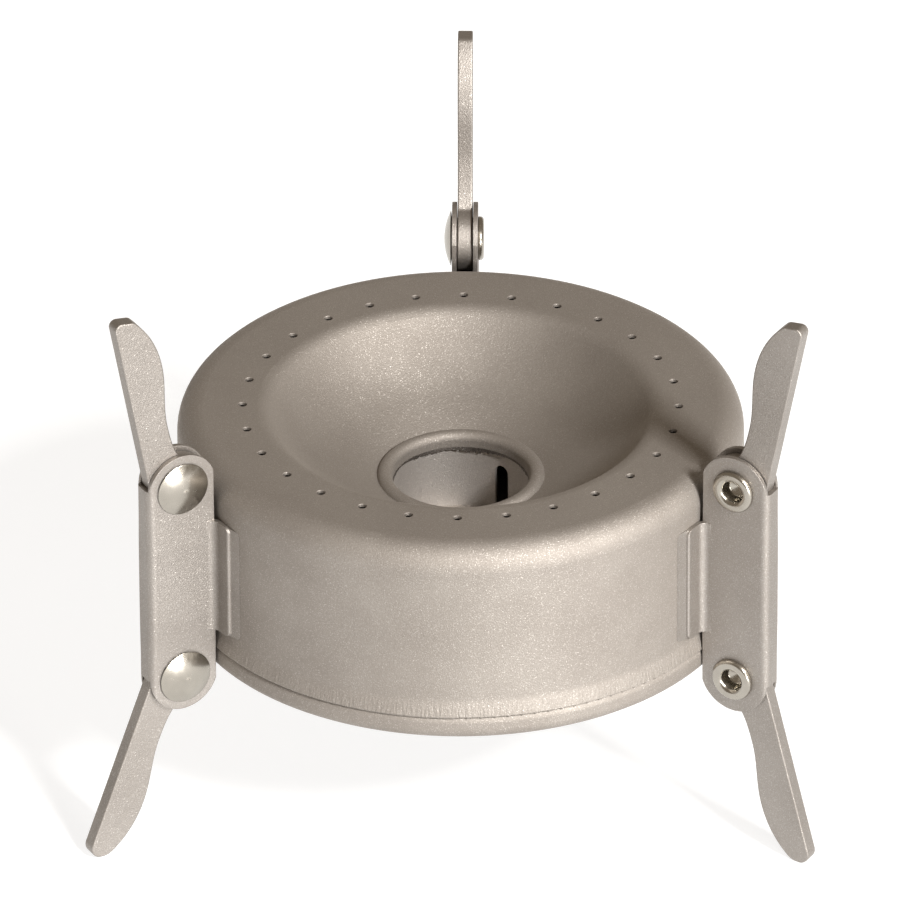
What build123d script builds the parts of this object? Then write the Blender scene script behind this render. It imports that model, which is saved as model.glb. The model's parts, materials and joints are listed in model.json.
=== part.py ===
from build123d import *
import os
from math import asin, cos, degrees, radians, sin, sqrt, tan

# A spirit stove pressed from thin titanium sheet, with three folding pot
# supports and three folding legs.  All sizes are in millimetres.  +Z is up and
# the burner's axis is Z.  The origin is on that axis, in the plane of the flat
# ring under the body.  The stove is modelled open, as it is used.

# ---- Driving dimensions -------------------------------------------------
body_radius = 33.0          # outside of the straight wall
body_height = 25.3          # underside ring to the flat annulus on top
body_sheet = 0.35           # shell, pan and inner tube
bracket_sheet = 0.55
blade_thickness = 1.75      # pot supports and legs
bracket_angles = {"rear": 90, "left": 210, "right": 330}

# ---- Body: shell, dish and filler opening -------------------------------
shoulder_radius = 3.0
dish_radius = 22.7          # where the annulus turns down into the dish
dish_lip_radius = 2.5
dish_upper_slope = 46       # degrees
dish_lower_slope = 28
dish_blend_radius = 25
bead_circle_radius = 8.9    # centre of the rolled bead round the filler
bead_tube_radius = 0.9
bead_depth = 9.6            # centre of the bead below the annulus
flange_depth = 10.4         # lower end of the filler flange
lip_height = 3.0            # lower edge of the shell
lip_flare = 0.4             # the shell's edge is belled by this much
flare_height = 2.1
flare_blend_radius = 2.5

jet_count = 28
jet_circle_radius = 25.37
jet_diameter = 1.05         # at the mouth
jet_throat_diameter = 0.75

# ---- Base pan -----------------------------------------------------------
pan_step_down = 0.1         # the pan's band sits this far inside the shell's lip
pan_shoulder_height = 2.5
pan_joggle_height = 0.8
pan_register_height = 6.3
pan_corner_radius = 1.4
recess_radius_low = 24.9
recess_radius_high = 22.9
plateau_height = 6.7        # floor of the fuel cup
recess_blend_radius = 1.2
nesting_gap = 0.05          # between sheets that nest

# ---- Inner tube ---------------------------------------------------------
tube_gap = 0.02             # radial gap to the filler flange
tube_headroom = 0.15        # tube's top edge below the bead's centre
slot_width = 1.8
slot_height = 6.2
slot_angles = (56, 176, 296)

# ---- Brackets -----------------------------------------------------------
pivot_radius = 37.6         # from the burner's axis
pivot_spacing = 25.4
pivot_mid_height = 13.2
ear_radius = 4.3
ear_inner_edge = 33.5       # clear of the belled lip
web_radius = 42.1           # outside of the web
web_corner_radius = 0.9
ear_gap = 0.1               # each side of a blade at the pivots
channel_flare = 0.1         # each ear stands out this much further at mid height
tab_height = 14.7
tab_reach = 4.35            # half width across the full thickness of both tabs
tab_bend_radius = 1.2
tab_bend_share = 0.95       # where the ears stop for the bend, in bend radii
sheet_overlap = 0.02        # so that ear and tab are one sheet
tab_corner_radius = 0.8
foot_reach = 5.7            # half width across the tabs' thinned margins
foot_height = 14.5
foot_corner_radius = 0.6
foot_root_thickness = 0.3
foot_middle_thickness = 0.1
foot_edge_thickness = 0.03
pinch_start = 5             # above the bracket's middle
pinch_end = 9.6
pinch_blend_radius = 20

# ---- Blades: u runs along the straight outer edge, w across it ----------
blade_root_radius = 3.75
blade_length = 24.9
blade_neck = (8.8, -0.15)
blade_belly = (16.7, -1.07)
blade_heel = (24.0, 1.2)
blade_heel_direction = 36   # degrees from the straight edge
blade_edge_break = 0.15
blade_join_angle = 14       # where the inner edge leaves the round root
blade_join_radius = 0.8
support_heel_radius = 1.0
support_tip_radius = 0.8
leg_heel_radius = 1.9
leg_tip_radius = 1.3
stop_gap = 0.03             # from an open blade to the end of the web
# Open angles from upright, in degrees.  Each bracket's web ends set its own.
support_lean = {"rear": 14, "left": 10.5, "right": 11.5}
leg_splay = {"rear": 18.5, "left": 22, "right": 15.5}

# ---- Rivets -------------------------------------------------------------
shank_radius = 1.5
rivet_hole_radius = 1.52    # in the ears
running_hole_radius = 1.55  # in the blades
head_radius = 3.25
head_rim = 0.18
head_height = 0.95
head_cup = 0.14             # the head's edge stands off the ear by this much
head_seat_radius = 2.0
roll_radius = 2.6
roll_height = 0.7
bore_radius = 1.25
bore_depth = 1.6
head_rim_rounding = 0.02
shank_corner_radius = 0.2   # under the head and under the rolled end
roll_outer_rounding = 0.45
roll_inner_rounding = 0.6
bore_end_rounding = 0.3

# ---- Worked out ---------------------------------------------------------
half_sheet = body_sheet / 2
half_blade = blade_thickness / 2
half_bracket_sheet = bracket_sheet / 2
ear_centre = half_blade + ear_gap + half_bracket_sheet
ear_face = ear_centre + half_bracket_sheet
channel_centre = ear_centre + channel_flare
bend_starts = body_radius + half_bracket_sheet + tab_bend_radius * tab_bend_share
upper_pivot_height = pivot_mid_height + pivot_spacing / 2
lower_pivot_height = pivot_mid_height - pivot_spacing / 2
web_reach = web_radius - bracket_sheet - pivot_radius
across_bracket = 3 * channel_centre     # long enough to cut through both ears


def web_end_beyond_pivot(open_angle):
    """How far past the pivot the web must end so that it stops the blade."""
    a = radians(open_angle)
    return (web_reach * cos(a) - blade_root_radius - stop_gap) / sin(a)


def sheet_section(path, thickness):
    """The section of a sheet whose middle follows a path."""
    return make_face(offset(path, amount=thickness / 2, side=Side.BOTH))


def turned(section):
    """A solid of revolution about Z from a section drawn as (radius, height)."""
    return revolve(Plane.XZ * section, axis=Axis.Z)


def outer_shell():
    """Wall, shoulder, annulus with its jets, dish and rolled filler opening."""
    top = body_height - half_sheet
    wall = body_radius - half_sheet
    bead_height = body_height - bead_depth
    bead_middle = bead_tube_radius - half_sheet
    dish_foot = (bead_circle_radius + bead_middle, bead_height)
    run = dish_radius - dish_foot[0]
    drop = top - dish_foot[1]
    steep = tan(radians(dish_upper_slope))
    gentle = tan(radians(dish_lower_slope))
    knee_run = (drop - run * gentle) / (steep - gentle)
    knee = (dish_radius - knee_run, top - knee_run * steep)
    pressing = FilletPolyline(
        (wall + lip_flare, lip_height + half_sheet),
        (wall, lip_height + flare_height),
        (wall, top),
        (dish_radius, top),
        knee,
        dish_foot,
        radius=[
            flare_blend_radius,
            shoulder_radius - half_sheet,
            dish_lip_radius - half_sheet,
            dish_blend_radius,
        ],
    )
    bead = CenterArc((bead_circle_radius, bead_height), bead_middle, 0, 180)
    flange = Line(bead @ 1, (bead_circle_radius - bead_middle, body_height - flange_depth))
    shell = turned(sheet_section(Wire([*pressing.edges(), bead, flange]), body_sheet))
    mouth, throat = jet_diameter / 2, jet_throat_diameter / 2
    jet = Cone(throat, mouth, body_sheet) + Cylinder(throat, 4 * body_sheet)
    jets = PolarLocations(jet_circle_radius, jet_count, start_angle=90)
    return shell - [Pos(0, 0, top) * place * jet for place in jets]


def base_pan():
    """Bottom pan: a register inside the shell, a visible band and a raised middle."""
    band = body_radius + lip_flare - pan_step_down - half_sheet
    register = body_radius - body_sheet - nesting_gap - half_sheet
    floor = plateau_height - half_sheet
    path = FilletPolyline(
        (register, pan_register_height),
        (register, pan_shoulder_height + pan_joggle_height),
        (band, pan_shoulder_height),
        (band, half_sheet),
        (recess_radius_low, half_sheet),
        (recess_radius_high, floor),
        (-1, floor),
        radius=[
            2 * body_sheet,
            2 * body_sheet,
            pan_corner_radius - half_sheet,
            recess_blend_radius,
            recess_blend_radius,
        ],
    )
    right_half = Pos(body_radius, 0) * Rectangle(2 * body_radius, 4 * body_height)
    return turned(sheet_section(path, body_sheet) & right_half)


def inner_tube():
    """The fuel cup's wall, with three slots that let fuel into the outer chamber."""
    inner_radius = bead_circle_radius - bead_tube_radius + body_sheet + tube_gap
    top = body_height - bead_depth - tube_headroom
    height = top - plateau_height
    ring = Circle(inner_radius + body_sheet) - Circle(inner_radius)
    tube = Pos(0, 0, plateau_height) * extrude(ring, height)
    straight = slot_height - slot_width / 2
    outline = Pos(0, straight / 2) * Rectangle(slot_width, straight)
    outline += Pos(0, straight) * Circle(slot_width / 2)
    cutter = Pos(0, 0, plateau_height) * extrude(Plane.YZ * outline, 2 * inner_radius)
    for angle in slot_angles:
        tube -= Rot(0, 0, angle) * cutter
    return tube


def channel_outline(half_width_at_ends, half_width_at_middle):
    """A channel's outline seen from outside, pinched in at both pivots."""
    tall = pivot_spacing
    corners = [
        (half_width_at_middle, -pinch_start),
        (half_width_at_middle, pinch_start),
        (half_width_at_ends, pinch_end),
        (half_width_at_ends, tall),
        (-half_width_at_ends, tall),
        (-half_width_at_ends, pinch_end),
        (-half_width_at_middle, pinch_start),
        (-half_width_at_middle, -pinch_start),
        (-half_width_at_ends, -pinch_end),
        (-half_width_at_ends, -tall),
        (half_width_at_ends, -tall),
        (half_width_at_ends, -pinch_end),
    ]
    outline = make_face(Polyline(*corners, close=True))
    bends = [v for v in outline.vertices() if abs(v.Y) < tall - 1]
    return fillet(bends, pinch_blend_radius)


def bracket(lean, splay):
    """A folded U channel round both blade roots, with a weld tab each side.

    It stands on the +X side of the burner.  The web's two ends stop the blades
    at the angles lean and splay.
    """
    middle = Plane(origin=(0, 0, pivot_mid_height), x_dir=(0, 1, 0), z_dir=(1, 0, 0))
    outer = channel_outline(ear_face, channel_centre + half_bracket_sheet)
    inner = channel_outline(ear_face - bracket_sheet, channel_centre - half_bracket_sheet)
    block = extrude(middle.offset(ear_inner_edge) * outer, web_radius - ear_inner_edge)
    block = fillet(long_outer_edges(block, web_radius), web_corner_radius)
    hollow_to = web_radius - bracket_sheet
    hollow = extrude(middle * inner, hollow_to)
    hollow = fillet(long_outer_edges(hollow, hollow_to), web_corner_radius - bracket_sheet)
    web_top = upper_pivot_height + web_end_beyond_pivot(lean)
    web_bottom = lower_pivot_height - web_end_beyond_pivot(splay)
    channel = (block - hollow) & side_profile(web_top, web_bottom)
    channel -= blade_slots(web_top, web_bottom)
    for side in (1, -1):
        channel += weld_tab(side)
    for height in (upper_pivot_height, lower_pivot_height):
        hole = Pos(pivot_radius, 0, height) * Rot(90, 0, 0) * Cylinder(rivet_hole_radius, across_bracket)
        channel -= hole
    return channel


def long_outer_edges(solid, x):
    """The edges of a channel's outer face that run up its two sides."""
    face = solid.faces().sort_by(Axis.X)[-1]
    ends = pivot_spacing - 1
    return [e for e in face.edges() if abs(e.center().Z - pivot_mid_height) < ends]


def side_profile(web_top, web_bottom):
    """The bracket seen from the side: round ears, and the web between its ends."""
    ears = Pos(pivot_radius, pivot_mid_height) * Rectangle(2 * ear_radius, pivot_spacing)
    ears += Pos(pivot_radius, upper_pivot_height) * Circle(ear_radius)
    ears += Pos(pivot_radius, lower_pivot_height) * Circle(ear_radius)
    reach = web_radius - pivot_radius
    centre = Pos(pivot_radius + reach / 2, (web_top + web_bottom) / 2)
    web = centre * Rectangle(reach, web_top - web_bottom)
    room = Pos(bend_starts / 2, pivot_mid_height) * Rectangle(bend_starts, tab_height)
    return extrude(Plane.XZ * (ears + web - room), across_bracket / 2, both=True)


def blade_slots(web_top, web_bottom):
    """What is cut from between the ears beyond the ends of the web."""
    width = 2 * (ear_face - bracket_sheet)
    tall = 2 * ear_radius
    deep = 4 * ear_radius
    above = Pos(pivot_radius, 0, web_top + tall / 2) * Box(deep, width, tall)
    below = Pos(pivot_radius, 0, web_bottom - tall / 2) * Box(deep, width, tall)
    return above + below


def weld_tab(side):
    """One ear's foot, bent outward along the body's wall. side is 1 or -1."""
    on_wall = body_radius + half_bracket_sheet
    start = degrees(asin(channel_centre / on_wall))
    corner = (on_wall * cos(radians(start)), channel_centre)
    neck = Line((bend_starts + sheet_overlap, channel_centre), corner)
    lap = CenterArc((0, 0), on_wall, start, 2 * start)
    path = Wire([neck, lap])
    bend = path.vertices().sort_by_distance(corner)[0]
    path = path.fillet_2d(tab_bend_radius, [bend])
    strip = extrude(sheet_section(path, bracket_sheet), tab_height / 2, both=True)
    plate = RectangleRounded(2 * tab_reach, tab_height, tab_corner_radius)
    outline = extrude(Plane.YZ * plate, pivot_radius)
    tab = Pos(0, 0, pivot_mid_height) * ((strip & outline) + tab_foot())
    return tab if side > 0 else mirror(tab, about=Plane.XZ)


def tab_foot():
    """One tab's margin beyond its full thickness, thinning out on the wall."""
    def on_wall(thickness, y):
        return (sqrt((body_radius + thickness) ** 2 - y**2), y)

    root = tab_reach - bracket_sheet
    middle = (root + foot_reach) / 2
    outer_edge = on_wall(foot_edge_thickness, foot_reach)
    outer_root = on_wall(foot_root_thickness, root)
    against_wall = ThreePointArc(on_wall(0, root), on_wall(0, middle), on_wall(0, foot_reach))
    edge = Line(on_wall(0, foot_reach), outer_edge)
    slope = ThreePointArc(outer_edge, on_wall(foot_middle_thickness, middle), outer_root)
    section = make_face([against_wall, edge, slope, Line(outer_root, on_wall(0, root))])
    strip = extrude(section, foot_height / 2, both=True)
    plate = RectangleRounded(2 * foot_reach, foot_height, foot_corner_radius)
    return strip & extrude(Plane.YZ * plate, pivot_radius)


def blade(pivot_height, up, open_angle, heel_radius, tip_radius):
    """A pot support (up = 1) or a leg (up = -1), open against its stop."""
    a = radians(open_angle)
    heel_turn = radians(blade_heel_direction)
    join_turn = radians(blade_join_angle)
    foot = (0, blade_root_radius)
    tip = (blade_length, blade_root_radius)
    join = (blade_root_radius * cos(join_turn), -blade_root_radius * sin(join_turn))
    inner_edge = Spline(
        blade_heel,
        blade_belly,
        blade_neck,
        join,
        tangents=[(-cos(heel_turn), -sin(heel_turn)), (-1, 0), (-1, 0), (-1, -0.5)],
    )
    root = ThreePointArc(join, (-blade_root_radius, 0), foot)
    outline = make_face([Line(foot, tip), Line(tip, blade_heel), inner_edge, root])
    for corner, radius in ((tip, tip_radius), (blade_heel, heel_radius), (join, blade_join_radius)):
        outline = fillet(outline.vertices().sort_by_distance(corner)[0], radius)
    plane = Plane(
        origin=(pivot_radius, 0, pivot_height),
        x_dir=(sin(a), 0, up * cos(a)),
        z_dir=(0, up, 0),
    )
    solid = extrude(plane * outline, half_blade, both=True)
    broken = [e for e in solid.edges() if abs(abs(e.center().Y) - half_blade) < 0.01]
    solid = fillet(broken, blade_edge_break)
    hole = Pos(pivot_radius, 0, pivot_height) * Rot(90, 0, 0)
    return solid - hole * Cylinder(running_hole_radius, 2 * blade_thickness)


def rivet(pivot_height):
    """A semi-tubular rivet: domed head one side, hollow rolled end the other."""
    tip = (0, ear_face + head_height)
    dome = TangentArc(tip, (head_radius, ear_face + head_rim), tangent=(1, 0))
    underside = FilletPolyline(
        dome @ 1,
        (head_radius, ear_face + head_cup),
        (head_seat_radius, ear_face),
        (shank_radius, ear_face),
        radius=[head_rim_rounding, shank_corner_radius],
    )
    shank = Line(underside @ 1, (shank_radius, -ear_face))
    roll = FilletPolyline(
        shank @ 1,
        (roll_radius, -ear_face),
        (roll_radius, -ear_face - roll_height),
        (bore_radius, -ear_face - roll_height),
        (bore_radius, -ear_face + bore_depth - bore_radius / 2),
        (0, -ear_face + bore_depth),
        radius=[
            shank_corner_radius,
            roll_outer_rounding,
            roll_inner_rounding,
            bore_end_rounding,
        ],
    )
    section = make_face([dome, *underside.edges(), shank, *roll.edges(), Line(roll @ 1, tip)])
    solid = revolve(section, axis=Axis.Y)
    return Pos(pivot_radius, 0, pivot_height) * solid


def all_nodes():
    nodes = {"outer_shell": outer_shell(), "base_pan": base_pan(), "inner_tube": inner_tube()}
    upper, lower = upper_pivot_height, lower_pivot_height
    for place, angle in bracket_angles.items():
        lean, splay = support_lean[place], leg_splay[place]
        made = {
            "bracket": bracket(lean, splay),
            "pot_support": blade(upper, 1, lean, support_heel_radius, support_tip_radius),
            "leg": blade(lower, -1, splay, leg_heel_radius, leg_tip_radius),
            "support_rivet": rivet(upper),
            "leg_rivet": rivet(lower),
        }
        for name, solid in made.items():
            nodes[f"{name}_{place}"] = Rot(0, 0, angle) * solid
    return nodes


if __name__ == "__main__":
    os.makedirs("parts", exist_ok=True)
    for name, solid in all_nodes().items():
        solid.label = name
        export_step(solid, f"parts/{name}.step")
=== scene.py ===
"""Looks for a folding spirit stove of bead-blasted titanium with steel rivets.

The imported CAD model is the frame.  Every length is in metres.
"""

import json
import math
import random

import bpy
from mathutils import Matrix, Vector


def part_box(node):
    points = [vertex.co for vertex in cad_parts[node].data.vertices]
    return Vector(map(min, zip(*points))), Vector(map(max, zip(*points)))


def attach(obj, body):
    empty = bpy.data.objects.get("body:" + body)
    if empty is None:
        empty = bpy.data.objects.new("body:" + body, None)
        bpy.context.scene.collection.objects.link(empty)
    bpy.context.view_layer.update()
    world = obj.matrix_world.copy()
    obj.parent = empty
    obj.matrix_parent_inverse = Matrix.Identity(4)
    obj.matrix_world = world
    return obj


MM = 0.001
BRIGHT_GRAIN = 0.85     # a blasted grain whose random value is above this one glints

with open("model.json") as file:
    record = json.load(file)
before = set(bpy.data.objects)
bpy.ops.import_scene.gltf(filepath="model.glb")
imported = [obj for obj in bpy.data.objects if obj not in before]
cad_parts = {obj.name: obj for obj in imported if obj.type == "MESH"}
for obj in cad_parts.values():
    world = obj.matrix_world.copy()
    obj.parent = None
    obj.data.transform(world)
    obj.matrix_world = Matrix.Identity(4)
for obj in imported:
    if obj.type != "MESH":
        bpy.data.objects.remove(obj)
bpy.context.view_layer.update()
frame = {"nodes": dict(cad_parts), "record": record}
scene = bpy.context.scene


# ---- Places read from the frame -----------------------------------------
shell_low, shell_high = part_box("outer_shell")
leg_names = ("leg_rear", "leg_left", "leg_right")
lip_level = shell_low.z
top_level = shell_high.z


# ---- Node helpers -------------------------------------------------------
def new_material(name):
    """A node material with its shader, and its object coordinates."""
    material = bpy.data.materials.new(name)
    material.use_nodes = True
    tree = material.node_tree
    shader = tree.nodes["Principled BSDF"]
    coordinates = tree.nodes.new("ShaderNodeTexCoord").outputs["Object"]
    return material, tree, shader, coordinates


def noise(tree, vector, size, detail=3.0, rough=0.55):
    """Noise whose lumps are about size metres across."""
    node = tree.nodes.new("ShaderNodeTexNoise")
    node.inputs["Scale"].default_value = 1 / size
    node.inputs["Detail"].default_value = detail
    node.inputs["Roughness"].default_value = rough
    tree.links.new(vector, node.inputs["Vector"])
    return node.outputs["Fac"]


def cells(tree, vector, size):
    """Grains about size metres across: a random value and a random colour each."""
    node = tree.nodes.new("ShaderNodeTexVoronoi")
    node.inputs["Scale"].default_value = 1 / size
    tree.links.new(vector, node.inputs["Vector"])
    split = tree.nodes.new("ShaderNodeSeparateColor")
    tree.links.new(node.outputs["Color"], split.inputs["Color"])
    return split.outputs["Red"], node.outputs["Color"]


def remap(tree, value, low, high, to_low, to_high):
    """value's range low..high stretched to to_low..to_high and clamped."""
    node = tree.nodes.new("ShaderNodeMapRange")
    tree.links.new(value, node.inputs["Value"])
    for key, number in (
        ("From Min", low),
        ("From Max", high),
        ("To Min", to_low),
        ("To Max", to_high),
    ):
        node.inputs[key].default_value = number
    return node.outputs["Result"]


def math_node(tree, operation, first, second=None):
    """One Math node; second may be a number, a socket or nothing."""
    node = tree.nodes.new("ShaderNodeMath")
    node.operation = operation
    tree.links.new(first, node.inputs[0])
    if isinstance(second, (int, float)):
        node.inputs[1].default_value = second
    elif second is not None:
        tree.links.new(second, node.inputs[1])
    return node.outputs["Value"]


def vector_node(tree, operation, first, second=None):
    """One Vector Math node; second may be a tuple, a socket or nothing."""
    node = tree.nodes.new("ShaderNodeVectorMath")
    node.operation = operation
    tree.links.new(first, node.inputs[0])
    if isinstance(second, tuple):
        node.inputs[1].default_value = second
    elif second is not None:
        tree.links.new(second, node.inputs["Scale" if operation == "SCALE" else 1])
    return node.outputs["Vector"]


def mix_colours(tree, factor, first, second, blend="MIX"):
    """A colour mix; first and second are colours or sockets."""
    node = tree.nodes.new("ShaderNodeMix")
    node.data_type = "RGBA"
    node.blend_type = blend
    if isinstance(factor, (int, float)):
        node.inputs["Factor"].default_value = factor
    else:
        tree.links.new(factor, node.inputs["Factor"])
    for socket, value in ((node.inputs[6], first), (node.inputs[7], second)):
        if isinstance(value, (tuple, list)):
            socket.default_value = (*value[:3], 1)
        else:
            tree.links.new(value, socket)
    return node.outputs[2]


def bump(tree, height, distance, strength=1.0, base_normal=None):
    """A bump normal; distance is the height's full range in metres."""
    node = tree.nodes.new("ShaderNodeBump")
    node.inputs["Distance"].default_value = distance
    node.inputs["Strength"].default_value = strength
    tree.links.new(height, node.inputs["Height"])
    if base_normal is not None:
        tree.links.new(base_normal, node.inputs["Normal"])
    return node.outputs["Normal"]


def soft_edges(tree, radius):
    """A normal that rounds the mesh's sharp edges by radius."""
    node = tree.nodes.new("ShaderNodeBevel")
    node.samples = 4
    node.inputs["Radius"].default_value = radius
    return node.outputs["Normal"]


# ---- Materials ----------------------------------------------------------
def blasted_titanium(name, tones, roughness, edge_radius, is_shell=False):
    """Bead-blasted sheet: fine pits with painted shade, glinting grains with painted
    highlights, and faint clouds.

    tones are its darker and lighter colour.  The shell also has painted shade in its jets
    and a wrinkled lip.
    """
    material, tree, shader, where = new_material(name)
    pits = noise(tree, where, 0.17 * MM, detail=3.0)
    grains, facets = cells(tree, where, 0.075 * MM)
    clouds = noise(tree, where, 11 * MM, detail=4.0)
    colour = mix_colours(tree, remap(tree, clouds, 0.3, 0.7, 0, 1), *tones)
    # painted highlight: bright grains get a colour lightened towards near white, on top of
    # their real lean and smoothness
    painted_glint = remap(tree, grains, BRIGHT_GRAIN, 1.0, 0, 0.22)
    colour = mix_colours(tree, painted_glint, colour, (0.93, 0.9, 0.86))
    # painted shade: the colour darkens in the pits' hollows, where the bump is low
    shade = remap(tree, pits, 0.3, 0.62, 0.5, 0.0)
    colour = mix_colours(tree, shade, colour, (0.82, 0.8, 0.78), "MULTIPLY")
    if is_shell:
        # painted shade: the jets' walls are darkened towards near black
        painted_jet_shade = (0.12, 0.105, 0.095)
        colour = mix_colours(tree, painted_jet_shade_mask(tree, where), colour, painted_jet_shade)
    tree.links.new(colour, shader.inputs["Base Color"])
    polish = remap(tree, clouds, 0.25, 0.75, roughness + 0.03, roughness - 0.03)
    grain_polish = remap(tree, grains, BRIGHT_GRAIN, 1, 0.01, -0.15)
    tree.links.new(math_node(tree, "ADD", polish, grain_polish), shader.inputs["Roughness"])
    shader.inputs["Metallic"].default_value = 1.0
    normal = soft_edges(tree, edge_radius)
    if is_shell:
        normal = lip_wrinkles(tree, where, normal)
    normal = bump(tree, pits, 0.05 * MM, 0.9, normal)
    tilt = remap(tree, grains, BRIGHT_GRAIN, 0.9, 0, 0.55)
    tree.links.new(tilted_grains(tree, normal, facets, tilt), shader.inputs["Normal"])
    return material


def tilted_grains(tree, normal, facets, tilt):
    """Each bright grain leans its own way, by up to half of tilt.

    facets are the grains' random colours.  The red of a bright grain is always
    high, so the middle of its range is taken off, not one half.
    """
    middle = ((BRIGHT_GRAIN + 1) / 2, 0.5, 0.5)
    centred = vector_node(tree, "SUBTRACT", facets, middle)
    lean = vector_node(tree, "SCALE", centred, tilt)
    return vector_node(tree, "NORMALIZE", vector_node(tree, "ADD", normal, lean))


def painted_jet_shade_mask(tree, where):
    """How much painted shade darkens the shell: some way to 1 in the jets' walls, and 0
    elsewhere.

    The jets' walls are the only visible metal in that ring just under the annulus.
    """
    jets_inside, jets_outside = 24.6 * MM, 26.1 * MM
    shade_from, full_from = top_level - 0.02 * MM, top_level - 0.12 * MM
    most = 0.6
    split = tree.nodes.new("ShaderNodeSeparateXYZ")
    tree.links.new(where, split.inputs[0])
    across = math_node(tree, "POWER", split.outputs["X"], 2)
    along = math_node(tree, "POWER", split.outputs["Y"], 2)
    reach = math_node(tree, "SQRT", math_node(tree, "ADD", across, along))
    beyond = math_node(tree, "GREATER_THAN", reach, jets_inside)
    within = math_node(tree, "LESS_THAN", reach, jets_outside)
    sunk = remap(tree, split.outputs["Z"], full_from, shade_from, most, 0)
    return math_node(tree, "MULTIPLY", math_node(tree, "MULTIPLY", beyond, within), sunk)


def lip_wrinkles(tree, where, normal):
    """Fine upright wrinkles, only in the shell's belled edge."""
    drawn_upright = vector_node(tree, "MULTIPLY", where, (1, 1, 0.08))
    ridges = noise(tree, drawn_upright, 0.35 * MM, detail=2.0)
    split = tree.nodes.new("ShaderNodeSeparateXYZ")
    tree.links.new(where, split.inputs[0])
    fade_from, fade_to = lip_level + 0.6 * MM, lip_level + 2.6 * MM
    mask = remap(tree, split.outputs["Z"], fade_from, fade_to, 1, 0)
    height = math_node(tree, "MULTIPLY", ridges, mask)
    return bump(tree, height, 0.14 * MM, 0.8, normal)


def polished_steel(name):
    """Rivet steel: bright, with fine scuffs and a few softer patches."""
    material, tree, shader, where = new_material(name)
    scuffs = noise(tree, where, 0.5 * MM, detail=5.0, rough=0.6)
    patches = noise(tree, where, 2.2 * MM, detail=2.0)
    colour = mix_colours(tree, patches, (0.33, 0.308, 0.27), (0.45, 0.422, 0.372))
    tree.links.new(colour, shader.inputs["Base Color"])
    polish = remap(tree, scuffs, 0.3, 0.7, 0.2, 0.28)
    tree.links.new(polish, shader.inputs["Roughness"])
    shader.inputs["Metallic"].default_value = 1.0
    normal = bump(tree, scuffs, 0.003 * MM, 0.3, soft_edges(tree, 0.12 * MM))
    tree.links.new(normal, shader.inputs["Normal"])
    return material


def floor_paper():
    """Plain pale studio paper."""
    material, tree, shader, where = new_material("studio_paper")
    fibres = noise(tree, where, 1.5 * MM, detail=3.0)
    colour = mix_colours(tree, fibres, (0.28, 0.28, 0.28), (0.32, 0.32, 0.32))
    tree.links.new(colour, shader.inputs["Base Color"])
    shader.inputs["Roughness"].default_value = 0.9
    shader.inputs["Emission Color"].default_value = (1, 1, 1, 1)
    shader.inputs["Emission Strength"].default_value = 0.82
    return material


def add_flange_burr():
    """The ragged lower edge of the filler flange.

    A thin ring of uneven teeth hangs from the flange just inside the tube.
    """
    rng = random.Random(11)
    edge_level, radius = flange_edge()
    steps = 720
    thickness = 0.12 * MM
    tucked = 0.1 * MM
    shortest, longest = 0.06, 0.81      # teeth, in mm
    most_lean = 0.1
    carried_over = 0.55                 # of one tooth's raggedness to the next
    rings = ([], [], [], [])
    points = []
    ragged = 0.0
    for i in range(steps):
        turn = 2 * math.pi * i / steps
        patch = 0.5 + 0.5 * math.sin(turn * 2 - 0.6) * math.sin(turn * 5 + 1)
        ragged = carried_over * ragged + (1 - carried_over) * rng.random()
        drop = (shortest + (longest - shortest) * patch * ragged) * MM
        lean = most_lean * MM * (ragged - 0.5) * patch
        outline = (
            (radius, tucked),
            (radius - thickness / 2 - lean, -drop),
            (radius + thickness / 2 - lean, -drop),
            (radius + thickness, tucked),
        )
        for ring, (out, rise) in zip(rings, outline):
            ring.append(len(points))
            points.append((out * math.cos(turn), out * math.sin(turn), edge_level + rise))
    faces = []
    for i in range(steps):
        j = (i + 1) % steps
        for k in range(4):
            a, b = rings[k], rings[(k + 1) % 4]
            faces.append((a[i], a[j], b[j], b[i]))
    mesh = bpy.data.meshes.new("flange_burr")
    mesh.from_pydata(points, [], faces)
    mesh.update()
    burr = bpy.data.objects.new("flange_burr", mesh)
    scene.collection.objects.link(burr)
    # painted shade: the burr's titanium is far darker than the sheet it hangs from
    burr_shade_tones = ((0.1, 0.088, 0.08), (0.2, 0.18, 0.16))
    mesh.materials.append(blasted_titanium("burr_titanium_painted_shade", burr_shade_tones, 0.55, 0.02 * MM))
    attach(burr, "burner")


def flange_edge():
    """The filler flange's lower edge: its height and its inner radius.

    It is the lowest ring of the shell's vertices that lies inside the bead.
    """
    node = frame["nodes"]["outer_shell"]
    opening = next(m for m in frame["record"]["mounts"] if m["name"] == "filler_opening")
    radius = opening["dims"]["r_mm"] * MM
    inside = radius + 0.5 * MM
    near = [v.co for v in node.data.vertices if math.hypot(v.co.x, v.co.y) < inside]
    return min(co.z for co in near), radius


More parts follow.
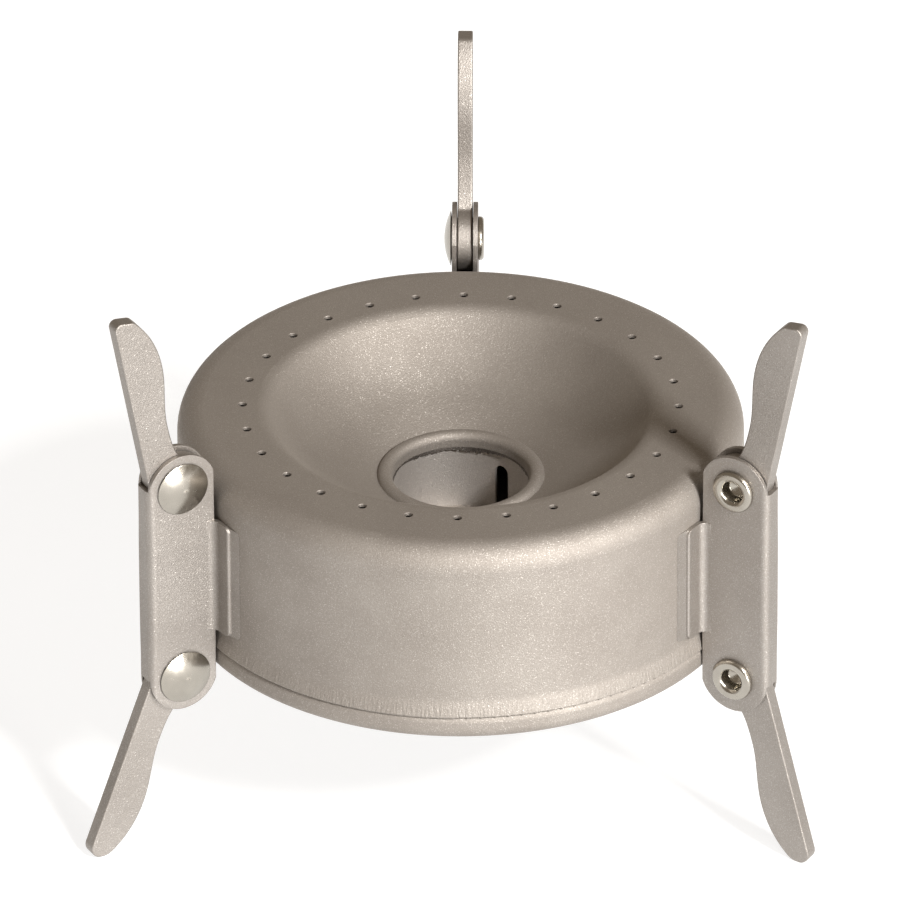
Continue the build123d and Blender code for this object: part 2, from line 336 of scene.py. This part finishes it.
def paint_nodes():
    """Every CAD node gets the material of its part."""
    body = ((0.32, 0.292, 0.265), (0.37, 0.342, 0.313))
    plate = ((0.312, 0.288, 0.265), (0.366, 0.341, 0.317))
    # painted light: the tube's titanium is much lighter than the same sheet outside, which
    # brightens the shaded inside of the tube
    tube_tones_painted_light = ((0.5, 0.47, 0.445), (0.6, 0.57, 0.54))
    shell = blasted_titanium("shell_titanium", body, 0.72, 0.12 * MM, is_shell=True)
    pan = blasted_titanium("pan_titanium", body, 0.74, 0.12 * MM)
    tube = blasted_titanium("tube_titanium", tube_tones_painted_light, 0.62, 0.05 * MM)
    channel = blasted_titanium("bracket_titanium", plate, 0.55, 0.12 * MM)
    flat = blasted_titanium("blade_titanium", plate, 0.55, 0.15 * MM)
    steel = polished_steel("rivet_steel")
    chosen = {
        "outer_shell": shell,
        "base_pan": pan,
        "inner_tube": tube,
        "bracket": channel,
        "pot_support": flat,
        "leg": flat,
        "support_rivet": steel,
        "leg_rivet": steel,
    }
    places = ("_rear", "_left", "_right")
    for name, node in frame["nodes"].items():
        part = name
        for place in places:
            part = part.removesuffix(place)
        node.data.materials.clear()
        node.data.materials.append(chosen[part])


# ---- Studio -------------------------------------------------------------
def lowest_point(name):
    """The lowest vertex of a CAD node."""
    return min((v.co for v in frame["nodes"][name].data.vertices), key=lambda co: co.z).copy()


def add_floor():
    """A large sheet of paper that touches all three feet.

    The legs open to slightly different angles, so the feet's plane is nearly a
    degree off level.  The paper lies in that plane.
    """
    half = 6.0
    feet = [lowest_point(name) for name in leg_names]
    across = (feet[1] - feet[0]).cross(feet[2] - feet[0])
    mesh = bpy.data.meshes.new("studio_floor")
    corners = [(-half, -half), (half, -half), (half, half), (-half, half)]
    points = []
    for x, y in corners:
        slope = across.x * (x - feet[0].x) + across.y * (y - feet[0].y)
        points.append((x, y, feet[0].z - slope / across.z))
    mesh.from_pydata(points, [], [(0, 1, 2, 3)])
    floor = bpy.data.objects.new("studio_floor", mesh)
    scene.collection.objects.link(floor)
    mesh.materials.append(floor_paper())


def direction(azimuth, elevation):
    """A unit vector; azimuth is counter-clockwise from +X, in degrees."""
    a, e = math.radians(azimuth), math.radians(elevation)
    return Vector((math.cos(a) * math.cos(e), math.sin(a) * math.cos(e), math.sin(e)))


def add_softbox(name, azimuth, elevation, distance, width, height, watts):
    """A rectangular soft light aimed at the burner's middle."""
    light = bpy.data.lights.new(name, "AREA")
    light.shape = "RECTANGLE"
    light.size = width
    light.size_y = height
    light.energy = watts
    light.color = (1.0, 0.985, 0.965)
    lamp = bpy.data.objects.new(name, light)
    toward = direction(azimuth, elevation)
    lamp.location = Vector((0, 0, top_level / 2)) + toward * distance
    lamp.rotation_euler = toward.to_track_quat("Z", "Y").to_euler()
    scene.collection.objects.link(lamp)


def add_world(strength):
    """Soft even studio air, slightly warm."""
    world = bpy.data.worlds.new("studio_air")
    scene.world = world
    world.use_nodes = True
    shade = world.node_tree.nodes["Background"]
    shade.inputs["Color"].default_value = (1.0, 0.84, 0.67, 1)
    shade.inputs["Strength"].default_value = strength


def add_camera():
    """A long lens, a little above the stove and almost straight in front."""
    azimuth_turn = math.radians(1.0)
    elevation = math.radians(30.89)
    roll = math.radians(-0.272)
    distance = 2.0297
    aim_left, aim_below = 1.23 * MM, 5.22 * MM      # of the middle of the annulus
    back = Vector(
        (
            math.sin(azimuth_turn) * math.cos(elevation),
            -math.cos(azimuth_turn) * math.cos(elevation),
            math.sin(elevation),
        )
    )
    right = Vector((0, 0, 1)).cross(back).normalized()
    up = back.cross(right)
    right, up = (
        right * math.cos(roll) + up * math.sin(roll),
        up * math.cos(roll) - right * math.sin(roll),
    )
    aim = Vector((0, 0, top_level)) - right * aim_left - up * aim_below
    lens = bpy.data.cameras.new("camera")
    lens.lens = 698.0
    lens.sensor_width = 36.0
    lens.clip_start = 0.1
    lens.clip_end = 20
    camera = bpy.data.objects.new("camera", lens)
    camera.matrix_world = Matrix.Translation(aim + back * distance) @ Matrix(
        (right, up, back)
    ).transposed().to_4x4()
    scene.collection.objects.link(camera)
    scene.camera = camera


paint_nodes()
add_flange_burr()
add_floor()
add_world(0.32)
add_softbox("key", 308, 38, 1.2, 0.18, 0.18, 24)
add_softbox("low_key", 301, 6, 1.2, 0.35, 0.3, 11.5)
add_camera()
scene.view_settings.view_transform = "Standard"
